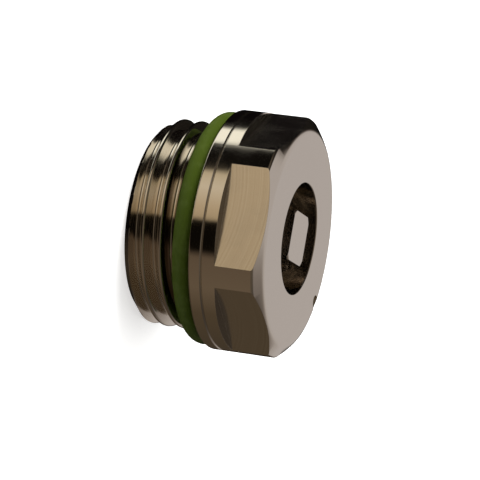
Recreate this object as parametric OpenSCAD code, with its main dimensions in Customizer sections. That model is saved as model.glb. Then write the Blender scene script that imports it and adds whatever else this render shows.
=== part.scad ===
// Screw-in air vent plug for a radiator. A turned and milled body carries a pipe thread, a
// hexagon and a key recess, a sealing ring sits under its flange, and a bleed screw closes on a
// cone inside it. The plug stands on its threaded end, head up. Sizes are in millimetres.

/* [Head] */
// Width of the hexagon across its flats
across_flats = 22; // [21.6:0.1:22.6]
// Diameter of the round bar that the head is turned from
head_d = 24.2; // [23.8:0.1:26]
// Height of the head above the seat of the flange's sealing ring
head_h = 7.4; // [7:0.1:12]
// Length of the milled flats, from the front face to where the cutter lifts
flat_len = 4.6; // [3:0.05:5]
// Length of the steep shoulder that the cutter leaves behind each flat
ramp_len = 0.1; // [0.05:0.05:0.5]
// Width of the front chamfer, measured across the front face
chamfer_w = 1.35; // [1.2:0.05:2]
// Angle of the front chamfer, measured from the front face
chamfer_angle = 30; // [20:1:45]
// Radius that softens the edge between the front face and its chamfer
face_round = 1.2; // [0.2:0.1:2]
// Radius of the flange's rear edge
flange_round = 0.25; // [0.1:0.05:0.5]
// Height of the line turned into the flange, above the sealing ring's seat
scribe_at = 1.35; // [0.8:0.05:1.5]
// Width of that line
scribe_w = 0.25; // [0.1:0.05:0.4]

/* [Pipe thread] */
// Outer diameter of the pipe thread
thread_d = 20.955; // [20.6:0.005:21.2]
// Pitch of the pipe thread
thread_pitch = 1.814; // [1.7:0.001:2]
// Depth of the pipe thread
thread_depth = 1.162; // [0.9:0.001:1.2]
// Width of the crest between two grooves
crest_w = 0.35; // [0.3:0.05:0.45]
// Width of the groove at its root
root_w = 0.35; // [0.3:0.05:0.45]
// Height at which the groove crosses the +X axis
thread_start = 0.2; // [0:0.1:1.8]
// Length of the threaded end below the flange
spigot_len = 7.7; // [7.3:0.1:14]
// Length of the bevel that leads the thread in
lead_len = 1.1; // [0.6:0.1:1.5]
// Depth of that bevel's small end below the root of the thread
lead_inset = 0.1; // [0.05:0.05:0.3]
// Bevel where the thread ends at the neck
run_out = 0.4; // [0.2:0.05:0.6]

/* [Flange sealing ring] */
// Thickness of the sealing ring's cord
ring_cord = 2; // [1.6:0.1:2.2]
// Distance of the sealing ring's outside from the flange's rim
ring_inset = 0.33; // [0.2:0.01:0.5]
// Room that the neck leaves beside the sealing ring
neck_spare = 0.25; // [0.1:0.05:0.6]

/* [Key recess and vent] */
// Diameter of the recess round the square
recess_d = 11.2; // [10:0.1:12]
// Depth of the recess
recess_depth = 4; // [3:0.1:4.2]
// Bevel at the mouth of the recess
recess_bevel = 0.1; // [0.05:0.05:0.3]
// Diameter of the slanting vent hole
vent_d = 1.4; // [1:0.1:1.6]
// Distance from the axis to the middle of the vent hole's mouth in the front face
vent_mouth = 10.5; // [10.2:0.1:10.8]

/* [Bleed screw] */
// Width of the square that the key turns
square_w = 5; // [4.4:0.1:5.1]
// Diameter to which the corners of the square are turned
square_corner_d = 6.7; // [6.3:0.1:6.8]
// Bevel at the square's end
square_bevel = 0.3; // [0.1:0.05:0.5]
// Depth of the square's end below the front face
square_sunk = 0.1; // [0:0.05:1]
// Turn of the square when the screw is closed
square_turn = 29; // [0:1:90]
// Outer diameter of the bleed screw's thread
screw_d = 7; // [6.9:0.1:7.6]
// Length of the bleed screw's thread
screw_len = 2.4; // [2:0.1:2.6]
// Travel of the bleed screw from closed to open
screw_travel = 1.125; // [0.75:0.125:1.25]
// Diameter of the bore that the screw's plain end slides in
chamber_d = 5.2; // [4.8:0.1:5.6]
// Thickness of the small sealing ring's cord
spindle_cord = 1; // [0.8:0.1:1.1]
// Width of the plain bands above and below the small sealing ring
land_w = 0.3; // [0.2:0.05:0.4]
// Diameter of the waist that faces the vent hole
waist_d = 3; // [2.7:0.1:3.4]
// Diameter of the flat at the screw's conical tip
tip_d = 1; // [0.6:0.1:1.6]

/* [Water side] */
// Diameter of the water hole under the seat
seat_hole_d = 2.4; // [1.8:0.1:2.6]
// Length of the water hole under the seat
seat_hole_len = 0.7; // [0.5:0.1:1]
// Angle of the conical seat
seat_angle = 90; // [80:5:110]
// Diameter of the hollow in the threaded end
hollow_d = 12; // [9:0.1:14]
// Depth of the hollow in the threaded end
hollow_depth = 1.6; // [1:0.1:1.8]

/* [Fits] */
// Gap on each side between the bleed screw and its bores
screw_gap = 0.05; // [0.03:0.01:0.08]
// Gap between a sealing ring and the metal beside it
ring_gap = 0.02; // [0.01:0.01:0.05]
// Gap left between the screw's tip and the seat when closed
seat_gap = 0.03; // [0.02:0.01:0.06]
// Gap below the screw's threaded collar when closed
collar_room = 0.2; // [0.1:0.05:0.3]
// Gap above and below the small sealing ring in its groove
groove_side = 0.1; // [0.05:0.05:0.2]

/* [Hidden] */
$fn = 96;
nickel = [0.73, 0.69, 0.63];
green_rubber = [0.36, 0.46, 0.2];
black_rubber = [0.12, 0.12, 0.12];
flat_count = 6;
first_flat = 30;
arc_steps = 6;
thread_steps = 48;
overrun = 1;

head_r = head_d / 2;
flat_r = across_flats / 2;
face_r = head_r - chamfer_w;
thread_r = thread_d / 2;
root_r = thread_r - thread_depth;
neck_r = head_r - ring_inset - ring_cord - ring_gap;
chamber_r = chamber_d / 2;
screw_r = screw_d / 2;

seat_z = spigot_len;
front_z = seat_z + head_h;
neck_z = seat_z - ring_cord - neck_spare;
chamfer_z = front_z - chamfer_w * tan(chamfer_angle);
flat_z = front_z - flat_len;

// The bleed screw hangs from the recess's floor, and its seat stands on the hollow.
floor_z = front_z - recess_depth;
collar_z = floor_z - screw_len;
thread_bore_z = collar_z - collar_room;
groove_w = spindle_cord + 2 * groove_side;
groove_top_z = thread_bore_z - screw_travel - groove_side;
groove_z = groove_top_z - groove_w;
land_z = groove_z - land_w;
hole_top_z = hollow_depth + seat_hole_len;
seat_slope = tan(seat_angle / 2);
seat_top_z = hole_top_z + (chamber_d - seat_hole_d) / 2 / seat_slope;
plunger_r = chamber_r - screw_gap;
groove_r = chamber_r - spindle_cord - 2 * ring_gap;
vent_z = (seat_top_z + land_z) / 2;

// Arc that rounds the corner b on the way from a to c
function round_corner(a, b, c, r) =
    let (
        u = (a - b) / norm(a - b),
        v = (c - b) / norm(c - b),
        half = acos(u * v) / 2,
        centre = b + (u + v) / norm(u + v) * r / sin(half),
        first = b + u * r / tan(half) - centre,
        last = b + v * r / tan(half) - centre,
        start = atan2(first[1], first[0]),
        turn = (atan2(last[1], last[0]) - start + 540) % 360 - 180
    )
    [for (i = [0:arc_steps]) centre + r * [cos(start + turn * i / arc_steps), sin(start + turn * i / arc_steps)]];

// Half width of the thread's groove at a distance from the axis
function groove_half(r) = root_w / 2 + (r - root_r) * (thread_pitch - crest_w - root_w) / 2 / thread_depth;

// Turned head: flange, front chamfer and front face, with the neck for the sealing ring below
module head_blank() {
    rim = [head_r, chamfer_z];
    face_edge = [face_r, front_z];
    rear_edge = [head_r, seat_z];
    scribe_z = seat_z + scribe_at;
    profile = concat(
        [[0, neck_z], [neck_r, neck_z], [neck_r, seat_z]],
        round_corner([neck_r, seat_z], rear_edge, rim, flange_round),
        [
            [head_r, scribe_z - scribe_w / 2],
            [head_r - scribe_w / 2, scribe_z],
            [head_r, scribe_z + scribe_w / 2],
            rim
        ],
        round_corner(rim, face_edge, [0, front_z], face_round),
        [[0, front_z]]
    );
    rotate_extrude() polygon(profile);
}

// One flat's cut, with the steep shoulder behind it
module flat_cut() {
    sink = head_r - flat_r;
    reach = 2;
    outline = [
        [flat_r, front_z + overrun],
        [flat_r, flat_z],
        [flat_r + reach * sink, flat_z - reach * ramp_len],
        [flat_r + reach * sink, front_z + overrun]
    ];
    rotate([90, 0, 0])
        linear_extrude(height = head_d, center = true)
            polygon(outline);
}

// Helical groove of the pipe thread, from below the end face to the neck
module thread_groove() {
    outer_r = thread_r + crest_w / 3;
    low_z = thread_start - thread_pitch;
    turns = (neck_z + ring_cord / 2 - low_z) / thread_pitch;
    rings = ceil(turns * thread_steps);
    section = [
        [root_r, -groove_half(root_r)],
        [outer_r, -groove_half(outer_r)],
        [outer_r, groove_half(outer_r)],
        [root_r, groove_half(root_r)]
    ];
    corners = len(section);
    points = [
        for (i = [0:rings])
            let (turned = i * 360 / thread_steps, z = low_z + i * thread_pitch / thread_steps)
            for (p = section) [p[0] * cos(turned), p[0] * sin(turned), z + p[1]]
    ];
    sides = [
        for (i = [0:rings - 1])
            for (j = [0:corners - 1])
                let (a = i * corners + j, b = i * corners + (j + 1) % corners)
                each [[a, b, b + corners], [a, b + corners, a + corners]]
    ];
    first_end = [for (j = [corners - 1:-1:0]) j];
    last_end = [for (j = [0:corners - 1]) rings * corners + j];
    polyhedron(points = points, faces = concat([first_end], sides, [last_end]), convexity = 8);
}

// Threaded end: bevelled at both ends, with the groove cut round it
module threaded_end() {
    difference() {
        rotate_extrude() polygon([
            [0, 0],
            [root_r - lead_inset, 0],
            [thread_r, lead_len],
            [thread_r, neck_z - run_out],
            [thread_r - run_out, neck_z],
            [0, neck_z]
        ]);
        thread_groove();
    }
}

// Key recess, screw bore, sliding bore, seat, water hole and hollow, in one turned cut
module inner_cut() {
    bore_r = screw_r + screw_gap;
    recess_r = recess_d / 2;
    rotate_extrude() polygon([
        [0, -overrun],
        [hollow_d / 2, -overrun],
        [hollow_d / 2, hollow_depth],
        [seat_hole_d / 2, hollow_depth],
        [seat_hole_d / 2, hole_top_z],
        [chamber_r, seat_top_z],
        [chamber_r, thread_bore_z],
        [bore_r, thread_bore_z],
        [bore_r, floor_z],
        [recess_r, floor_z],
        [recess_r, front_z - recess_bevel],
        [recess_r + recess_bevel + overrun, front_z + overrun],
        [0, front_z + overrun]
    ]);
}

// Slanting hole that lets the air out, from the front face's rim to the waist of the screw
module vent_hole() {
    run = vent_mouth - chamber_r;
    rise = front_z - vent_z;
    slant = atan2(run, rise);
    length = norm([run, rise]);
    inner_end = 0.5;
    translate([chamber_r, 0, vent_z])
        rotate([0, slant, 0])
            translate([0, 0, -inner_end])
                cylinder(d = vent_d, h = length + inner_end + overrun);
}

module plug_body() {
    color(nickel)
        difference() {
            union() {
                threaded_end();
                difference() {
                    head_blank();
                    for (i = [0:flat_count - 1])
                        rotate([0, 0, first_flat + i * 360 / flat_count])
                            flat_cut();
                }
            }
            inner_cut();
            vent_hole();
        }
}

// Round cord closed to a ring; inner_r is the radius of its hole, low_z its lowest height
module sealing_ring(inner_r, cord, low_z) {
    rotate_extrude()
        translate([inner_r + cord / 2, low_z + cord / 2])
            circle(d = cord, $fn = 32);
}

module flange_seal_ring() {
    color(green_rubber)
        sealing_ring(neck_r + ring_gap, ring_cord, seat_z - ring_gap - ring_cord);
}

module spindle_seal_ring() {
    color(black_rubber)
        sealing_ring(groove_r + ring_gap, spindle_cord, groove_z + groove_side);
}

// Square end of the bleed screw, with turned corners and a bevelled tip
module key_square() {
    end_z = front_z - square_sunk;
    corner_r = square_corner_d / 2;
    intersection() {
        rotate([0, 0, square_turn])
            translate([-square_w / 2, -square_w / 2, collar_z])
                cube([square_w, square_w, end_z - collar_z]);
        rotate_extrude() polygon([
            [0, collar_z],
            [corner_r, collar_z],
            [corner_r, end_z - square_bevel],
            [corner_r - square_bevel, end_z],
            [0, end_z]
        ]);
    }
}

// Turned part of the bleed screw, from its tip to the top of its threaded collar
module screw_shank() {
    tip_r = tip_d / 2;
    waist_r = waist_d / 2;
    seated_z = hole_top_z + seat_gap / sin(seat_angle / 2);
    tip_z = seated_z - (seat_hole_d / 2 - tip_r) / seat_slope;
    bevel = 0.3;
    rotate_extrude() polygon([
        [0, tip_z],
        [tip_r, tip_z],
        [waist_r, tip_z + (waist_r - tip_r) / seat_slope],
        [waist_r, land_z],
        [plunger_r, land_z],
        [plunger_r, groove_z],
        [groove_r, groove_z],
        [groove_r, groove_top_z],
        [plunger_r, groove_top_z],
        [plunger_r, collar_z],
        [screw_r - bevel, collar_z],
        [screw_r, collar_z + bevel],
        [screw_r, floor_z - bevel],
        [screw_r - bevel, floor_z],
        [0, floor_z]
    ]);
}

module bleed_screw() {
    color(nickel)
        union() {
            screw_shank();
            key_square();
        }
}

plug_body();
flange_seal_ring();
bleed_screw();
spindle_seal_ring();
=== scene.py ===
import math

import bmesh
import bpy
from mathutils import Matrix, Vector


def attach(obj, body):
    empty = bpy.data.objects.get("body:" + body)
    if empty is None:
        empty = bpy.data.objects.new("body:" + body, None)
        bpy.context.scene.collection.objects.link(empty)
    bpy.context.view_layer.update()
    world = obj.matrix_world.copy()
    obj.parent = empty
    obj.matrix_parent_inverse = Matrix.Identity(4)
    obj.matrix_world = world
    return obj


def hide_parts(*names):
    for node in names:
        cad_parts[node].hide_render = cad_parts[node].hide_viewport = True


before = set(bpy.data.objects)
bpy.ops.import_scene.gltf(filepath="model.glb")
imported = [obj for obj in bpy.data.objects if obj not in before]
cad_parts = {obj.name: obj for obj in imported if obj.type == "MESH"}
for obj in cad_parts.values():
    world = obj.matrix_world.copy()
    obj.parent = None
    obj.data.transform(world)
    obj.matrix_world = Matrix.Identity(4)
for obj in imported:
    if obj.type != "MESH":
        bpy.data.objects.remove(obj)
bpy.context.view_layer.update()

mm = 0.001
weld = 1e-7
onPlane = 1e-8
up = Vector((0, 0, 1))
origin = Vector((0, 0, 0))


# Helpers for shapes

def turnedCorner(before, corner, after, radius, steps):
    # the points of a rounding between two straight parts of a profile
    a = (Vector(before) - Vector(corner)).normalized()
    b = (Vector(after) - Vector(corner)).normalized()
    half = a.angle(b) / 2
    centre = Vector(corner) + (a + b).normalized() * radius / math.sin(half)
    first = Vector(corner) + a * radius / math.tan(half) - centre
    last = Vector(corner) + b * radius / math.tan(half) - centre
    turn = first.angle_signed(last)
    return [centre + Matrix.Rotation(-turn * i / steps, 2) @ first for i in range(steps + 1)]


def roundedProfile(corners, steps, hold=0.0):
    # each corner is (distance from the axis, height, rounding), in millimetres; with hold, a point
    # on either side of each rounding keeps the straight parts straight when they are shaded
    points = []
    for i, (r, z, rounding) in enumerate(corners):
        if rounding == 0 or i in (0, len(corners) - 1):
            points.append(Vector((r, z)))
            continue
        arc = turnedCorner(corners[i - 1][:2], (r, z), corners[i + 1][:2], rounding, steps)
        if hold and (arc[0] - points[-1]).length > 2 * hold:
            points.append(arc[0] + (points[-1] - arc[0]).normalized() * hold)
        points += arc
        onward = Vector(corners[i + 1][:2]) - arc[-1]
        if hold and onward.length > 4 * hold:
            points.append(arc[-1] + onward.normalized() * hold)
    return points


def addProfile(bm, points):
    # puts a profile into the XZ plane as a chain of edges
    verts = [bm.verts.new((p[0] * mm, 0, p[1] * mm)) for p in points]
    edges = [bm.edges.new(pair) for pair in zip(verts, verts[1:])]
    return verts + edges


def turnProfile(bm, points, steps):
    made = addProfile(bm, points)
    bmesh.ops.spin(bm, geom=made, cent=origin, axis=up, dvec=origin, angle=math.tau,
                   steps=steps, use_merge=True, use_duplicate=False)
    bmesh.ops.remove_doubles(bm, verts=bm.verts[:], dist=weld)


def boundaryLoop(bm, height):
    near = 1e-6
    return [e for e in bm.edges if e.is_boundary
            and all(abs(v.co.z - height * mm) < near for v in e.verts)]


def cutLevel(bm, height, clearAbove):
    geom = bm.verts[:] + bm.edges[:] + bm.faces[:]
    bmesh.ops.bisect_plane(bm, geom=geom, dist=onPlane, plane_co=(0, 0, height * mm), plane_no=up,
                           clear_outer=clearAbove, clear_inner=not clearAbove)


def helicalSkin(thread):
    # one open thread surface between two levels, rounded at crests and roots as it was rolled
    pitch = thread["pitch"]
    sharp = pitch / 2 / math.tan(math.radians(thread["flankAngle"]))
    crest = thread["crestR"] + (sharp - thread["depth"]) / 2
    root = crest - sharp
    corners = [(crest, -pitch, 0), (root, -pitch / 2, thread["rounding"]), (crest, 0, thread["rounding"]),
               (root, pitch / 2, thread["rounding"]), (crest, pitch, 0)]
    points = roundedProfile(corners, thread["arcSteps"])
    slack = 1e-6
    points = [p for p in points if abs(p[1]) <= pitch / 2 + slack]
    dense = [points[0]]
    for a, b in zip(points, points[1:]):
        pieces = max(1, round((b - a).length / thread["grain"]))
        dense += [a.lerp(b, (i + 1) / pieces) for i in range(pieces)]
    low = thread["crestAt"]
    while low > thread["low"] - pitch:
        low -= pitch
    turns = math.ceil((thread["high"] - low) / pitch) + 1
    bm = bmesh.new()
    made = addProfile(bm, [p + Vector((0, low)) for p in dense])
    bmesh.ops.spin(bm, geom=made, cent=origin, axis=up, dvec=up * pitch * mm / thread["steps"],
                   angle=math.tau * turns, steps=thread["steps"] * turns,
                   use_merge=False, use_duplicate=False)
    bmesh.ops.remove_doubles(bm, verts=bm.verts[:], dist=2 * weld)
    for v in bm.verts:
        z = v.co.z / mm
        r = v.co.xy.length / mm
        wanted = thread["shape"](r, z)
        v.co.xy *= wanted / r
    cutLevel(bm, thread["low"], False)
    cutLevel(bm, thread["high"], True)
    return bm


def meshFrom(bm, name):
    bmesh.ops.recalc_face_normals(bm, faces=bm.faces[:])
    for f in bm.faces:
        f.smooth = True
    mesh = bpy.data.meshes.new(name)
    bm.to_mesh(mesh)
    bm.free()
    piece = bpy.data.objects.new(name, mesh)
    bpy.context.scene.collection.objects.link(piece)
    return piece


def joinInto(bm, other):
    # moves everything of one bmesh into another
    scratch = bpy.data.meshes.new("scratch")
    other.to_mesh(scratch)
    other.free()
    bm.from_mesh(scratch)
    bpy.data.meshes.remove(scratch)


def carve(piece, cutter, operation):
    # applies a boolean and removes the cutter
    change = piece.modifiers.new("cut", "BOOLEAN")
    change.operation = operation
    change.solver = "EXACT"
    change.object = cutter
    graph = bpy.context.evaluated_depsgraph_get()
    mesh = bpy.data.meshes.new_from_object(piece.evaluated_get(graph))
    piece.modifiers.clear()
    piece.data = mesh
    bpy.data.objects.remove(cutter)


def dress(piece, material, body, node, sharpAngle):
    # gives a piece its material and shading, hangs it under the empty of its body, and hides the part of
    # model.glb that it stands for
    piece.data.materials.clear()
    piece.data.materials.append(material)
    piece.data.set_sharp_from_angle(angle=math.radians(sharpAngle))
    even = piece.modifiers.new("even shading", "WEIGHTED_NORMAL")
    even.mode = "FACE_AREA"
    even.keep_sharp = True
    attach(piece, body)
    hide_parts(node)


# Materials

def addNode(tree, kind, **values):
    made = tree.nodes.new(kind)
    for name, value in values.items():
        setattr(made, name, value)
    return made


def feed(tree, socket, value):
    if isinstance(value, bpy.types.NodeSocket):
        tree.links.new(value, socket)
    else:
        socket.default_value = value


def calc(tree, operation, *values):
    made = addNode(tree, "ShaderNodeMath", operation=operation)
    for socket, value in zip(made.inputs, values):
        feed(tree, socket, value)
    return made.outputs[0]


def vectorCalc(tree, operation, *values):
    made = addNode(tree, "ShaderNodeVectorMath", operation=operation)
    for socket, value in zip(made.inputs, values):
        feed(tree, socket, value)
    return made.outputs["Value"] if operation in ("DOT_PRODUCT", "LENGTH") else made.outputs["Vector"]


def noise(tree, vector, detail, scale=1.0):
    made = addNode(tree, "ShaderNodeTexNoise")
    feed(tree, made.inputs["Vector"], vector)
    made.inputs["Scale"].default_value = scale
    made.inputs["Detail"].default_value = detail
    return made.outputs["Fac"]


def combine(tree, x, y, z):
    made = addNode(tree, "ShaderNodeCombineXYZ")
    for socket, value in zip(made.inputs, (x, y, z)):
        feed(tree, socket, value)
    return made.outputs[0]


def split(tree, vector):
    made = addNode(tree, "ShaderNodeSeparateXYZ")
    feed(tree, made.inputs[0], vector)
    return made.outputs


def scaled(tree, vector, factor):
    made = vectorCalc(tree, "SCALE", vector)
    feed(tree, made.node.inputs["Scale"], factor)
    return made


def fromAxis(tree, place):
    # the distance from the plug's axis
    return vectorCalc(tree, "LENGTH", vectorCalc(tree, "MULTIPLY", place, (1, 1, 0)))


def step(tree, value, low, high):
    # rises smoothly from 0 at low to 1 at high
    made = addNode(tree, "ShaderNodeMapRange", interpolation_type="SMOOTHSTEP")
    feed(tree, made.inputs["Value"], value)
    made.inputs["From Min"].default_value = low
    made.inputs["From Max"].default_value = high
    return made.outputs["Result"]


def blend(tree, factor, first, second):
    # sockets 6 and 7 and output 2 are the ones for colours
    made = addNode(tree, "ShaderNodeMix", data_type="RGBA")
    for socket, value in zip((made.inputs[0], made.inputs[6], made.inputs[7]), (factor, first, second)):
        feed(tree, socket, value)
    return made.outputs[2]


def newGroup(name, outputs, inputs):
    # a node group with its sockets, and the tree to fill
    tree = bpy.data.node_groups.new(name, "ShaderNodeTree")
    for label, value in inputs:
        socket = tree.interface.new_socket(label, in_out="INPUT", socket_type="NodeSocketFloat")
        socket.default_value = value
    for label in outputs:
        tree.interface.new_socket(label, in_out="OUTPUT", socket_type="NodeSocketFloat")
    entry = tree.nodes.new("NodeGroupInput")
    ending = tree.nodes.new("NodeGroupOutput")
    return tree, entry, ending


def inMillimetres(tree):
    place = addNode(tree, "ShaderNodeTexCoord").outputs["Object"]
    return vectorCalc(tree, "MULTIPLY", place, (1000, 1000, 1000))


def useGroup(tree, group, **values):
    made = addNode(tree, "ShaderNodeGroup", node_tree=group)
    for name, value in values.items():
        feed(tree, made.inputs[name], value)
    return made


def turningMarks():
    # fine rings left by the lathe, the same all the way round
    tree, entry, ending = newGroup("turning marks", ["Height"], [("Spacing", 0.08)])
    place = inMillimetres(tree)
    rings = combine(tree, fromAxis(tree, place), 0.0, split(tree, place)["Z"])
    rings = scaled(tree, rings, calc(tree, "DIVIDE", 1.0, entry.outputs["Spacing"]))
    feed(tree, ending.inputs["Height"], noise(tree, rings, detail=1.0))
    return tree


def millingArcs():
    # arcs that the face mill leaves on each flat, and the mask of the flats
    tree, entry, ending = newGroup(
        "milling arcs", ["Height", "Mask"],
        [("Flat Radius", 11.0), ("Flat Start", 10.5), ("Flat Tolerance", 0.03),
         ("Cutter Radius", 14.0), ("Cutter Offset", 1.5), ("Spacing", 0.12)])
    place = inMillimetres(tree)
    x, y, z = split(tree, place)
    sector = math.radians(60)
    turn = calc(tree, "FLOORED_MODULO", calc(tree, "ARCTAN2", y, x), sector)
    turn = calc(tree, "SUBTRACT", turn, sector / 2)
    radius = fromAxis(tree, place)
    across = calc(tree, "MULTIPLY", radius, calc(tree, "SINE", turn))
    outward = calc(tree, "MULTIPLY", radius, calc(tree, "COSINE", turn))
    beside = calc(tree, "ADD", across, entry.outputs["Cutter Offset"])
    rise = calc(tree, "SUBTRACT", z, entry.outputs["Flat Start"])
    below = calc(tree, "ADD", rise, entry.outputs["Cutter Radius"])
    swing = vectorCalc(tree, "LENGTH", combine(tree, beside, below, 0.0))
    lines = calc(tree, "DIVIDE", swing, entry.outputs["Spacing"])
    feed(tree, ending.inputs["Height"], noise(tree, combine(tree, lines, 0.0, 0.0), detail=1.0))
    off = calc(tree, "ABSOLUTE", calc(tree, "SUBTRACT", outward, entry.outputs["Flat Radius"]))
    onFlat = calc(tree, "LESS_THAN", off, entry.outputs["Flat Tolerance"])
    above = calc(tree, "GREATER_THAN", z, entry.outputs["Flat Start"])
    feed(tree, ending.inputs["Mask"], calc(tree, "MULTIPLY", onFlat, above))
    return tree


# how the painted shade on the neck fades in at its start, end, outer and inner borders
fading = {"start": (0, 0.3), "end": (0, 0.1), "outer": (-0.12, 0.1), "inner": (0, 0.1)}


def paintedNeckShade():
    # marks the neck under the sealing ring, where painted shade stands for the shade of the ring and the
    # flange above it
    tree, entry, ending = newGroup(
        "painted neck shade", ["Mask"], [("Start", 4.9), ("End", 7.6), ("Inner", 9.0), ("Outer", 9.9)])
    place = inMillimetres(tree)
    z = split(tree, place)["Z"]
    radius = fromAxis(tree, place)
    above = calc(tree, "SUBTRACT", z, entry.outputs["Start"])
    below = calc(tree, "SUBTRACT", entry.outputs["End"], z)
    inside = calc(tree, "SUBTRACT", entry.outputs["Outer"], radius)
    outside = calc(tree, "SUBTRACT", radius, entry.outputs["Inner"])
    part = calc(tree, "MULTIPLY", step(tree, above, *fading["start"]), step(tree, below, *fading["end"]))
    part = calc(tree, "MULTIPLY", part, step(tree, inside, *fading["outer"]))
    part = calc(tree, "MULTIPLY", part, step(tree, outside, *fading["inner"]))
    feed(tree, ending.inputs["Mask"], part)
    return tree


unevenness = {"fineScale": 6.0, "fineShare": 0.12, "smudgeScale": 0.45, "smudgeRange": (0.42, 0.68)}


def platingRipple():
    # the soft unevenness of plating over brass, broad and fine
    tree, entry, ending = newGroup("plating ripple", ["Height", "Smudge"], [("Size", 1.6)])
    place = inMillimetres(tree)
    waves = scaled(tree, place, calc(tree, "DIVIDE", 1.0, entry.outputs["Size"]))
    broad = noise(tree, waves, detail=1.0)
    fine = noise(tree, waves, detail=3.0, scale=unevenness["fineScale"])
    smudge = noise(tree, waves, detail=4.0, scale=unevenness["smudgeScale"])
    height = calc(tree, "MULTIPLY_ADD", fine, unevenness["fineShare"], broad)
    feed(tree, ending.inputs["Height"], height)
    feed(tree, ending.inputs["Smudge"], step(tree, smudge, *unevenness["smudgeRange"]))
    return tree


# where the edges are tinted: worn plating, and a painted edge highlight
wearAndGlint = {"edge": (0.52, 0.6), "patches": (0.4, 0.6), "endFace": (0.93, 0.985)}


def wornAndGlintingEdges():
    # marks the outer edges, which rubbing thins and dulls first and which are tinted lighter as a painted
    # edge highlight, and leaves the end faces plain
    tree, entry, ending = newGroup("worn and glinting edges", ["Mask"], [("Break Up", 3.0)])
    edge = step(tree, addNode(tree, "ShaderNodeNewGeometry").outputs["Pointiness"], *wearAndGlint["edge"])
    spots = scaled(tree, inMillimetres(tree), entry.outputs["Break Up"])
    patches = step(tree, noise(tree, spots, detail=3.0), *wearAndGlint["patches"])
    facing = split(tree, addNode(tree, "ShaderNodeTexCoord").outputs["Normal"])["Z"]
    endFace = step(tree, calc(tree, "ABSOLUTE", facing), *wearAndGlint["endFace"])
    slanting = calc(tree, "SUBTRACT", 1.0, endFace)
    wornAndGlint = calc(tree, "MULTIPLY", edge, patches)
    feed(tree, ending.inputs["Mask"], calc(tree, "MULTIPLY", wornAndGlint, slanting))
    return tree


dusting = {"scale": 0.9, "range": (0.45, 0.7)}


def rubberGrain():
    # the fine grain of moulded rubber, and dusty patches
    tree, entry, ending = newGroup("rubber grain", ["Height", "Dust"], [("Size", 0.12)])
    place = inMillimetres(tree)
    grain = scaled(tree, place, calc(tree, "DIVIDE", 1.0, entry.outputs["Size"]))
    feed(tree, ending.inputs["Height"], noise(tree, grain, detail=3.0))
    dust = noise(tree, place, detail=4.0, scale=dusting["scale"])
    feed(tree, ending.inputs["Dust"], step(tree, dust, *dusting["range"]))
    return tree


groups = {
    "turning": turningMarks(), "milling": millingArcs(), "ripple": platingRipple(),
    "edges": wornAndGlintingEdges(), "grain": rubberGrain(), "neckShade": paintedNeckShade(),
}


def newMaterial(name):
    material = bpy.data.materials.new(name)
    material.use_nodes = True
    return material, material.node_tree


def addBump(tree, shader, height, distance):
    bump = addNode(tree, "ShaderNodeBump")
    bump.inputs["Distance"].default_value = distance
    feed(tree, bump.inputs["Height"], height)
    feed(tree, shader.inputs["Normal"], bump.outputs[0])


def nickelPlate(name, settings):
    material, tree = newMaterial(name)
    shader = tree.nodes["Principled BSDF"]
    shader.inputs["Metallic"].default_value = 1.0
    turning = useGroup(tree, groups["turning"], Spacing=settings["turningSpacing"])
    milling = useGroup(tree, groups["milling"], Spacing=settings["millingSpacing"])
    ripple = useGroup(tree, groups["ripple"], Size=settings["rippleSize"])
    edges = useGroup(tree, groups["edges"])
    turned = calc(tree, "SUBTRACT", 1.0, milling.outputs["Mask"])
    wornAndGlint = calc(tree, "MULTIPLY", edges.outputs["Mask"], turned)
    streaks = step(tree, milling.outputs["Height"], *settings["streakRange"])
    streaks = calc(tree, "MULTIPLY", streaks, milling.outputs["Mask"])
    metal = blend(tree, streaks, (*settings["color"], 1), (*settings["milled"], 1))
    # the edges take a lighter colour: worn plating and a painted edge highlight
    metal = blend(tree, wornAndGlint, metal, (*settings["wornAndGlint"], 1))
    # painted shade on the neck under the sealing ring, blended into the metal's colour
    neckShade = useGroup(tree, groups["neckShade"]).outputs["Mask"]
    feed(tree, shader.inputs["Base Color"], blend(tree, neckShade, metal, (*settings["neckShade"], 1)))
    dull = calc(tree, "MULTIPLY_ADD", ripple.outputs["Smudge"], settings["smudge"], settings["roughness"])
    dull = calc(tree, "MULTIPLY_ADD", milling.outputs["Mask"], settings["milledRough"], dull)
    feed(tree, shader.inputs["Roughness"], calc(tree, "MULTIPLY_ADD", wornAndGlint, settings["wornRough"], dull))
    lines = calc(tree, "MULTIPLY", turning.outputs["Height"], turned)
    arcs = calc(tree, "MULTIPLY", milling.outputs["Height"], milling.outputs["Mask"])
    height = calc(tree, "MULTIPLY", lines, settings["turningDepth"])
    height = calc(tree, "MULTIPLY_ADD", arcs, settings["millingDepth"], height)
    height = calc(tree, "MULTIPLY_ADD", ripple.outputs["Height"], settings["rippleDepth"], height)
    addBump(tree, shader, height, mm)
    return material


def rubber(name, settings):
    material, tree = newMaterial(name)
    shader = tree.nodes["Principled BSDF"]
    grain = useGroup(tree, groups["grain"], Size=settings["grainSize"])
    dust = grain.outputs["Dust"]
    color = blend(tree, dust, (*settings["color"], 1), (*settings["dusty"], 1))
    feed(tree, shader.inputs["Base Color"], color)
    dull = calc(tree, "MULTIPLY_ADD", dust, settings["dustRough"], settings["roughness"])
    feed(tree, shader.inputs["Roughness"], dull)
    shader.inputs["Specular IOR Level"].default_value = settings["shine"]
    addBump(tree, shader, grain.outputs["Height"], settings["grainDepth"] * mm)
    return material


# In both nickel materials the neck colour is painted shade under the sealing ring, and the edge colour is
# worn plating with a painted edge highlight
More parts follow.
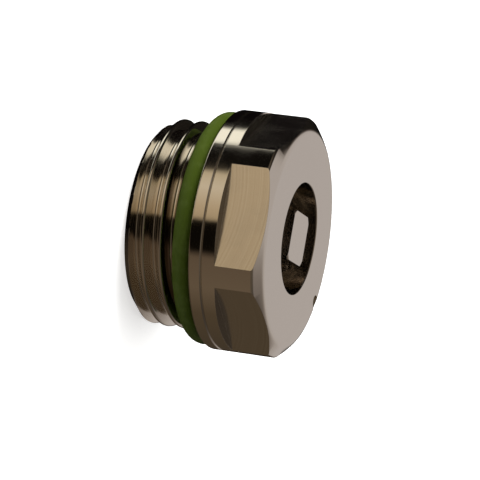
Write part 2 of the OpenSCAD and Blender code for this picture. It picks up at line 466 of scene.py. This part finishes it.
bodyNickel = nickelPlate("plated brass body", {
    "color": (0.72, 0.67, 0.6), "wornAndGlint": (0.8, 0.73, 0.6), "milled": (0.79, 0.75, 0.69),
    "neckShade": (0.13, 0.1, 0.075), "roughness": 0.1, "smudge": 0.05, "wornRough": 0.08,
    "milledRough": 0.08, "streakRange": (0.35, 0.7),
    "turningSpacing": 0.26, "turningDepth": 0.0012, "millingSpacing": 0.2, "millingDepth": 0.003,
    "rippleSize": 1.6, "rippleDepth": 0.0055,
})
screwNickel = nickelPlate("plated brass screw", {
    "color": (0.74, 0.69, 0.62), "wornAndGlint": (0.8, 0.73, 0.6), "milled": (0.79, 0.75, 0.69),
    "neckShade": (0.13, 0.1, 0.075), "roughness": 0.12, "smudge": 0.05, "wornRough": 0.08,
    "milledRough": 0.0, "streakRange": (0.35, 0.7),
    "turningSpacing": 0.22, "turningDepth": 0.001, "millingSpacing": 0.16, "millingDepth": 0.0,
    "rippleSize": 1.2, "rippleDepth": 0.003,
})
greenRubber = rubber("green sealing rubber", {
    "color": (0.04, 0.062, 0.006), "dusty": (0.05, 0.072, 0.012),
    "roughness": 0.55, "dustRough": 0.12, "shine": 0.07,
    "grainSize": 0.11, "grainDepth": 0.006,
})
blackRubber = rubber("black sealing rubber", {
    "color": (0.02, 0.02, 0.02), "dusty": (0.03, 0.03, 0.028),
    "roughness": 0.45, "dustRough": 0.12, "shine": 0.4,
    "grainSize": 0.08, "grainDepth": 0.004,
})

# Plug body. Lengths are in millimetres and angles in degrees: a name that ends in R is a radius,
# and one that ends in Z a height above the foot

plug = {
    "steps": 192,
    "headR": 12.1, "flatR": 11.0, "flatCount": 6, "firstFlat": 30.0,
    "flatZ": 10.5, "holdLow": 0.3, "holdHigh": 0.16, "cutReach": 0.6, "rampLen": 0.1, "edgeSoftness": 0.09,
    "neckR": 9.75, "neckZ": 5.45, "seatZ": 7.7, "frontZ": 15.1,
    "faceR": 10.75, "chamferAngle": 30.0, "faceRound": 1.2, "chamferRound": 0.35, "flangeRound": 0.25,
    "scribeZ": 9.05, "scribeHalf": 0.125,
    "recessR": 5.6, "floorZ": 11.1, "boreR": 3.55, "boreZ": 8.5, "chamberR": 2.6, "seatTopZ": 3.7,
    "holeR": 1.2, "holeTopZ": 2.3, "hollowR": 6.0, "hollowZ": 1.6,
    "threadR": 10.4775, "leadR": 9.2155, "leadLen": 1.1, "runOut": 0.5, "endEdge": 0.08,
    "pitch": 1.814, "depth": 1.162, "crestAt": 1.107,
    "ventMouthR": 10.5, "ventZ": 4.7375, "ventR": 0.7, "drillSpare": 1.5, "drillInside": 0.5,
}


def cutFlat(bm, angle):
    # mills one flat: two plane cuts, the skin between them out, and the flat and its ramp put in
    p = plug
    out = Vector((math.cos(math.radians(angle)), math.sin(math.radians(angle)), 0))
    sink = p["headR"] - p["flatR"]
    ramp = (out * p["rampLen"] + up * sink).normalized()
    start = out * p["flatR"] * mm + up * p["flatZ"] * mm
    nearby = (p["flatR"] - p["cutReach"]) * mm
    for direction in (out, ramp):
        faces = [f for f in bm.faces if f.calc_center_median().dot(out) > nearby]
        edges = {e for f in faces for e in f.edges}
        verts = {v for f in faces for v in f.verts}
        bmesh.ops.bisect_plane(bm, geom=faces + list(edges) + list(verts), dist=weld,
                               plane_co=start, plane_no=direction)
    tiny = 2 * weld
    gone = []
    for f in bm.faces:
        middle = f.calc_center_median() - start
        if middle.dot(out) > tiny and middle.dot(ramp) > tiny:
            gone.append(f)
    bmesh.ops.delete(bm, geom=gone, context="FACES")
    flatAt = p["flatR"] * mm - tiny
    rim = [e for e in bm.edges if e.is_boundary and all(v.co.dot(out) > flatAt for v in e.verts)]
    flatEdges = [e for e in rim if all(abs((v.co - start).dot(out)) < tiny for v in e.verts)]
    rampEdges = [e for e in rim if e not in flatEdges]
    corners = list({v for e in flatEdges for v in e.verts} & {v for e in rampEdges for v in e.verts})
    seam = bm.edges.new(corners)
    bmesh.ops.contextual_create(bm, geom=flatEdges + [seam])
    bmesh.ops.contextual_create(bm, geom=rampEdges + [seam])
    return [e for e in flatEdges + rampEdges + [seam] if e.is_valid]


def makePlugBody():
    p = plug
    chamferZ = p["frontZ"] - (p["headR"] - p["faceR"]) * math.tan(math.radians(p["chamferAngle"]))
    corners = [
        (p["neckR"], p["neckZ"] + p["endEdge"], 0),
        (p["neckR"], p["seatZ"], 0.08),
        (p["headR"], p["seatZ"], p["flangeRound"]),
        (p["headR"], p["scribeZ"] - p["scribeHalf"], 0.03),
        (p["headR"] - p["scribeHalf"], p["scribeZ"], 0.03),
        (p["headR"], p["scribeZ"] + p["scribeHalf"], 0.03),
        (p["headR"], p["flatZ"] - p["holdLow"], 0),
        (p["headR"], p["flatZ"] - p["holdHigh"], 0),
        (p["headR"], chamferZ, p["chamferRound"]),
        (p["faceR"], p["frontZ"], p["faceRound"]),
        (p["recessR"], p["frontZ"], 0.12),
        (p["recessR"], p["floorZ"], 0.2),
        (p["boreR"], p["floorZ"], 0.15),
        (p["boreR"], p["boreZ"], 0.03),
        (p["chamberR"], p["boreZ"], 0.05),
        (p["chamberR"], p["seatTopZ"], 0.05),
        (p["holeR"], p["holeTopZ"], 0.05),
        (p["holeR"], p["hollowZ"], 0.1),
        (p["hollowR"], p["hollowZ"], 0.4),
        (p["hollowR"], 0, 0.15),
        (p["leadR"] - p["endEdge"], 0, 0),
    ]
    bm = bmesh.new()
    turnProfile(bm, roundedProfile(corners, steps=6, hold=0.04), p["steps"])
    edges = []
    for i in range(p["flatCount"]):
        edges += cutFlat(bm, p["firstFlat"] + i * 360 / p["flatCount"])
    edges = [e for e in edges if e.is_valid]
    bmesh.ops.bevel(bm, geom=edges, offset=p["edgeSoftness"] * mm, offset_type="OFFSET", segments=3,
                    profile=0.5, affect="EDGES", material=-1, clamp_overlap=True)

    def shape(r, z):
        # a lead-in cone at the end of the thread, and a run-out that fades into the neck
        cone = p["leadR"] + (p["threadR"] - p["leadR"]) * z / p["leadLen"]
        t = min(max((z - p["neckZ"] + p["runOut"]) / p["runOut"], 0), 1)
        fade = t * t * (3 - 2 * t)
        return min(r, cone) * (1 - fade) + p["neckR"] * fade

    skin = helicalSkin({
        "pitch": p["pitch"], "depth": p["depth"], "crestR": p["threadR"], "flankAngle": 27.5,
        "rounding": 0.249, "arcSteps": 6, "grain": 0.08, "steps": p["steps"], "crestAt": p["crestAt"],
        "low": p["endEdge"], "high": p["neckZ"], "shape": shape,
    })
    joinInto(bm, skin)
    bmesh.ops.bridge_loops(bm, edges=boundaryLoop(bm, 0) + boundaryLoop(bm, p["endEdge"]))
    neckLoops = boundaryLoop(bm, p["neckZ"]) + boundaryLoop(bm, p["neckZ"] + p["endEdge"])
    bmesh.ops.bridge_loops(bm, edges=neckLoops)
    bmesh.ops.remove_doubles(bm, verts=bm.verts[:], dist=weld)
    print("plug body open edges:", sum(1 for e in bm.edges if not e.is_manifold))
    piece = meshFrom(bm, "plugBody")

    drill = bmesh.new()
    run = p["ventMouthR"] - p["chamberR"]
    rise = p["frontZ"] - p["ventZ"]
    length = math.hypot(run, rise) + p["drillSpare"]
    bmesh.ops.create_cone(drill, cap_ends=True, segments=48, radius1=p["ventR"] * mm,
                          radius2=p["ventR"] * mm, depth=length * mm)
    place = (Matrix.Translation(Vector((p["chamberR"], 0, p["ventZ"])) * mm)
             @ Matrix.Rotation(math.atan2(run, rise), 4, "Y")
             @ Matrix.Translation((0, 0, (length / 2 - p["drillInside"]) * mm)))
    bmesh.ops.transform(drill, matrix=place, verts=drill.verts[:])
    carve(piece, meshFrom(drill, "drill"), "DIFFERENCE")
    dress(piece, bodyNickel, "root", "plug_body", sharpAngle=40)


makePlugBody()
print("plug body made")

# Bleed screw

screw = {
    "steps": 96, "tipR": 0.5, "tipZ": 1.642, "waistR": 1.5, "seatSlope": 1.0,
    "landZ": 5.775, "grooveZ": 6.075, "grooveTopZ": 7.275, "plungerR": 2.55, "grooveR": 1.56,
    "collarZ": 8.7, "collarTopZ": 11.1, "threadR": 3.5, "pitch": 0.75, "depth": 0.42, "capEdge": 0.05,
    "squareW": 5.0, "cornerR": 3.35, "endR": 3.15, "endAngle": 30.0, "squareEdge": 0.06,
    "squareTop": 15.0, "squareTurn": 29.0, "sunk": 0.5,
}


def makeBleedScrew():
    s = screw
    waistZ = s["tipZ"] + (s["waistR"] - s["tipR"]) / s["seatSlope"]
    rootR = s["threadR"] - s["depth"]
    corners = [
        (0, s["tipZ"], 0),
        (s["tipR"], s["tipZ"], 0.05),
        (s["waistR"], waistZ, 0.05),
        (s["waistR"], s["landZ"], 0.08),
        (s["plungerR"], s["landZ"], 0.05),
        (s["plungerR"], s["grooveZ"], 0.03),
        (s["grooveR"], s["grooveZ"], 0.05),
        (s["grooveR"], s["grooveTopZ"], 0.05),
        (s["plungerR"], s["grooveTopZ"], 0.03),
        (s["plungerR"], s["collarZ"], 0.05),
        (rootR - s["capEdge"], s["collarZ"], 0),
    ]
    bm = bmesh.new()
    turnProfile(bm, roundedProfile(corners, steps=4, hold=0.03), s["steps"])
    lid = [Vector((rootR - s["capEdge"], s["collarTopZ"])), Vector((0, s["collarTopZ"]))]
    turnProfile(bm, lid, s["steps"])

    def shape(r, z):
        # a chamfer of 45 degrees at either end of the thread
        low = rootR + (z - s["collarZ"])
        high = rootR + (s["collarTopZ"] - z)
        return min(r, low, high)

    skin = helicalSkin({
        "pitch": s["pitch"], "depth": s["depth"], "crestR": s["threadR"], "flankAngle": 30.0,
        "rounding": 0.06, "arcSteps": 4, "grain": 0.08, "steps": s["steps"], "crestAt": s["collarZ"],
        "low": s["collarZ"] + s["capEdge"], "high": s["collarTopZ"] - s["capEdge"], "shape": shape,
    })
    joinInto(bm, skin)
    lowLoops = boundaryLoop(bm, s["collarZ"]) + boundaryLoop(bm, s["collarZ"] + s["capEdge"])
    highLoops = boundaryLoop(bm, s["collarTopZ"]) + boundaryLoop(bm, s["collarTopZ"] - s["capEdge"])
    bmesh.ops.bridge_loops(bm, edges=lowLoops)
    bmesh.ops.bridge_loops(bm, edges=highLoops)
    print("bleed screw open edges:", sum(1 for e in bm.edges if not e.is_manifold))
    piece = meshFrom(bm, "bleedScrew")

    # the square end: a turned round with a turned bevel, milled square
    top = s["squareTop"]
    low = s["collarTopZ"] - s["sunk"]
    bevelZ = top - (s["cornerR"] - s["endR"]) * math.tan(math.radians(s["endAngle"]))
    end = bmesh.new()
    corners = [
        (0, low, 0),
        (s["cornerR"], low, 0),
        (s["cornerR"], bevelZ, 0.1),
        (s["endR"], top, 0.1),
        (0, top, 0),
    ]
    turnProfile(end, roundedProfile(corners, steps=4, hold=0.03), s["steps"])
    for i in range(4):
        out = Matrix.Rotation(math.radians(90 * i), 3, "Z") @ Vector((1, 0, 0))
        bmesh.ops.bisect_plane(end, geom=end.verts[:] + end.edges[:] + end.faces[:], dist=onPlane,
                               plane_co=out * s["squareW"] / 2 * mm, plane_no=out, clear_outer=True)
        bmesh.ops.holes_fill(end, edges=[e for e in end.edges if e.is_boundary], sides=0)
    bmesh.ops.dissolve_limit(end, angle_limit=math.radians(1), verts=end.verts[:], edges=end.edges[:])
    # its sharp edges on the four sides are softened, as far as they stand out of the collar
    sharp = math.radians(20)
    hair = 0.001
    sideAt = (s["squareW"] / 2 - hair) * mm
    rim = [e for e in end.edges if len(e.link_faces) == 2 and e.calc_face_angle() > sharp
           and max(abs(c) for v in e.verts for c in v.co.xy) > sideAt
           and all(v.co.z > s["collarTopZ"] * mm for v in e.verts)]
    bmesh.ops.bevel(end, geom=rim, offset=s["squareEdge"] * mm, offset_type="OFFSET", segments=2,
                    profile=0.5, affect="EDGES", material=-1, clamp_overlap=True)
    bmesh.ops.rotate(end, cent=origin, matrix=Matrix.Rotation(math.radians(s["squareTurn"]), 3, "Z"),
                     verts=end.verts[:])
    carve(piece, meshFrom(end, "squareEnd"), "UNION")
    dress(piece, screwNickel, "bleed_screw", "bleed_screw", sharpAngle=40)


makeBleedScrew()
print("bleed screw made")

# Sealing rings

flangeRing = {"cord": 2.0, "innerR": 9.77, "lowZ": 5.68, "steps": 192, "sides": 48}
spindleRing = {"cord": 1.0, "innerR": 1.58, "lowZ": 6.175, "steps": 96, "sides": 32}


def makeSealingRing(name, ring, material, body, node):
    half = ring["cord"] / 2
    bm = bmesh.new()
    bmesh.ops.create_circle(bm, cap_ends=False, segments=ring["sides"], radius=half * mm)
    centre = Vector((ring["innerR"] + half, 0, ring["lowZ"] + half)) * mm
    place = Matrix.Translation(centre) @ Matrix.Rotation(math.radians(90), 4, "X")
    bmesh.ops.transform(bm, matrix=place, verts=bm.verts[:])
    bmesh.ops.spin(bm, geom=bm.verts[:] + bm.edges[:], cent=origin, axis=up, dvec=origin, angle=math.tau,
                   steps=ring["steps"], use_merge=True, use_duplicate=False)
    bmesh.ops.remove_doubles(bm, verts=bm.verts[:], dist=weld)
    piece = meshFrom(bm, name)
    dress(piece, material, body, node, sharpAngle=60)


makeSealingRing(
    "flangeSealRing", flangeRing, greenRubber, "root", "flange_seal_ring")
makeSealingRing(
    "spindleSealRing", spindleRing, blackRubber, "spindle_ring", "spindle_seal_ring")
print("sealing rings made")

# Camera, in metres and degrees: it looks at the plug from the side and is rolled, so that the plug
# seems to lie

camera = {
    "distance": 0.28, "frameWidth": 0.04778, "tilt": 18.17, "roll": 7.56,
    "nearSide": -143.3, "faceRight": 0.00592, "faceUp": 0.00013,
}


def cameraAxes():
    c = camera
    tilt = math.radians(c["tilt"])
    roll = math.radians(c["roll"])
    near = Vector((math.cos(math.radians(c["nearSide"])), math.sin(math.radians(c["nearSide"])), 0))
    side = near.cross(up)
    level = up * math.cos(tilt) - near * math.sin(tilt)
    right = level * math.cos(roll) + side * math.sin(roll)
    above = side * math.cos(roll) - level * math.sin(roll)
    back = up * math.sin(tilt) + near * math.cos(tilt)
    return right, above, back, side, near


right, above, back, side, near = cameraAxes()


def makeCamera():
    c = camera
    face = Vector((0, 0, plug["frontZ"] * mm))
    target = face - right * c["faceRight"] - above * c["faceUp"]
    data = bpy.data.cameras.new("camera")
    data.sensor_width = 36
    data.lens = data.sensor_width * c["distance"] / c["frameWidth"]
    data.clip_start = 0.01
    data.clip_end = 5
    made = bpy.data.objects.new("camera", data)
    bpy.context.scene.collection.objects.link(made)
    turn = Matrix((right, above, back)).transposed().to_4x4()
    made.matrix_world = Matrix.Translation(target + back * c["distance"]) @ turn
    bpy.context.scene.camera = made


makeCamera()

# Floor, world and lamps, in metres

# Metal mirrors the room. Below the horizon, where the plug's sides mirror it, stand bands, each at
# a turn about the plug's axis, counted from the picture's top towards the camera. Above it hangs a
# pale canopy, which the front face and the chamfer mirror: it runs over the plug away from the
# camera, and its brightness changes on a slant from the picture's bottom (-1) to its top (1).
# Far below the horizon, where the thread's lower flanks mirror them, the bands are dimmer
lowBands = [
    (-180, (0.09, 0.065, 0.04)), (-110, (0.06, 0.045, 0.03)), (-98, (0.004, 0.003, 0.003)),
    (-23, (0.004, 0.003, 0.003)), (-18, (1.2, 1.18, 1.03)), (0, (1.2, 1.18, 1.03)),
    (6, (0.006, 0.005, 0.004)), (33, (0.006, 0.005, 0.004)), (38, (0.6, 0.5, 0.34)),
    (52, (0.7, 0.6, 0.45)), (72, (0.55, 0.43, 0.28)), (82, (0.47, 0.365, 0.23)),
    (85.5, (0.004, 0.003, 0.002)), (113, (0.004, 0.003, 0.002)), (120, (0.13, 0.093, 0.062)),
    (150, (0.15, 0.11, 0.073)), (180, (0.09, 0.065, 0.04)),
]
canopy = [
    (-1, (0.03, 0.025, 0.02)), (-0.8, (0.08, 0.066, 0.055)), (-0.57, (0.25, 0.215, 0.195)),
    (-0.4, (0.44, 0.4, 0.375)), (-0.28, (0.52, 0.48, 0.465)), (0.12, (0.52, 0.48, 0.465)),
    (0.2, (0.48, 0.44, 0.42)), (0.27, (0.12, 0.1, 0.09)), (0.34, (0.012, 0.01, 0.008)),
    (1, (0.008, 0.007, 0.006)),
]
studio = {
    "floorSize": 2.0, "floorColor": 0.8, "floorLift": 0.62, "skyTop": (0.6, 0.58, 0.54),
    "skyBottom": (0.08, 0.075, 0.07), "horizon": (-0.06, 0.1), "canopyEnd": (-0.1, 0.4),
    "canopySlant": 0.5, "canopyLevel": 0.31, "nadir": (-0.64, -0.44), "nadirShare": 0.75,
    "nearColor": (0.1, 0.08, 0.058),
}


def makeFloor():
    bm = bmesh.new()
    bmesh.ops.create_grid(bm, x_segments=1, y_segments=1, size=studio["floorSize"] / 2)
    floor = meshFrom(bm, "floor")
    material, tree = newMaterial("floor")
    tree.nodes.clear()
    paint = addNode(tree, "ShaderNodeBsdfDiffuse")
    paint.inputs["Color"].default_value = (studio["floorColor"],) * 3 + (1,)
    lift = addNode(tree, "ShaderNodeEmission")
    seen = addNode(tree, "ShaderNodeLightPath").outputs["Is Camera Ray"]
    feed(tree, lift.inputs["Strength"], calc(tree, "MULTIPLY", seen, studio["floorLift"]))
    total = addNode(tree, "ShaderNodeAddShader")
    output = addNode(tree, "ShaderNodeOutputMaterial")
    tree.links.new(paint.outputs[0], total.inputs[0])
    tree.links.new(lift.outputs[0], total.inputs[1])
    tree.links.new(total.outputs[0], output.inputs["Surface"])
    floor.data.materials.append(material)
    floor.visible_glossy = False


def colorRamp(tree, value, bands, reach):
    # value and the places of the bands both run from -reach to reach
    made = addNode(tree, "ShaderNodeValToRGB")
    feed(tree, made.inputs[0], calc(tree, "MULTIPLY_ADD", value, 0.5 / reach, 0.5))
    stops = made.color_ramp.elements
    stops.remove(stops[1])
    for i, (place, color) in enumerate(bands):
        share = 0.5 + 0.5 * place / reach
        stop = stops[0] if i == 0 else stops.new(share)
        stop.position = share
        stop.color = (*color, 1)
    return made.outputs["Color"]


def makeWorld():
    world = bpy.data.worlds.new("studio")
    bpy.context.scene.world = world
    world.use_nodes = True
    tree = world.node_tree
    tree.nodes.clear()
    ray = addNode(tree, "ShaderNodeTexCoord").outputs["Generated"]
    towardsSide = vectorCalc(tree, "DOT_PRODUCT", ray, tuple(side))
    towardsNear = vectorCalc(tree, "DOT_PRODUCT", ray, tuple(near))
    height = vectorCalc(tree, "DOT_PRODUCT", ray, tuple(up))
    turn = calc(tree, "DEGREES", calc(tree, "ARCTAN2", towardsNear, towardsSide))
    sunken = calc(tree, "SUBTRACT", studio["canopyLevel"], height)
    across = calc(tree, "MULTIPLY_ADD", sunken, studio["canopySlant"], towardsSide)
    pale = colorRamp(tree, across, canopy, reach=1)
    high = blend(tree, step(tree, towardsNear, *studio["canopyEnd"]), pale, (*studio["nearColor"], 1))
    share = studio["nadirShare"]
    dimming = calc(tree, "MULTIPLY_ADD", step(tree, height, *studio["nadir"]), 1 - share, share)
    low = scaled(tree, colorRamp(tree, turn, lowBands, reach=180), dimming)
    room = blend(tree, step(tree, height, *studio["horizon"]), low, high)
    sky = blend(tree, step(tree, towardsSide, -1, 1), (*studio["skyBottom"], 1), (*studio["skyTop"], 1))
    rays = addNode(tree, "ShaderNodeLightPath")
    color = blend(tree, rays.outputs["Is Glossy Ray"], sky, room)
    color = blend(tree, rays.outputs["Is Camera Ray"], color, (1, 1, 1, 1))
    glow = addNode(tree, "ShaderNodeBackground")
    feed(tree, glow.inputs["Color"], color)
    output = addNode(tree, "ShaderNodeOutputWorld")
    tree.links.new(glow.outputs[0], output.inputs["Surface"])


def makeLamp(name, place, size, power):
    data = bpy.data.lights.new(name, "AREA")
    data.size = size
    data.energy = power
    lamp = bpy.data.objects.new(name, data)
    bpy.context.scene.collection.objects.link(lamp)
    lamp.matrix_world = Matrix.Translation(place) @ place.to_track_quat("Z", "Y").to_matrix().to_4x4()
    lamp.visible_glossy = False


makeFloor()
makeWorld()
makeLamp("lamp above", side * 0.42 + up * 0.18 + near * 0.05, size=0.3, power=3.2)
makeLamp("lamp over the floor", up * 0.5 - near * 0.1, size=0.4, power=1.6)
bpy.context.scene.view_settings.view_transform = "Standard"
print("studio made")
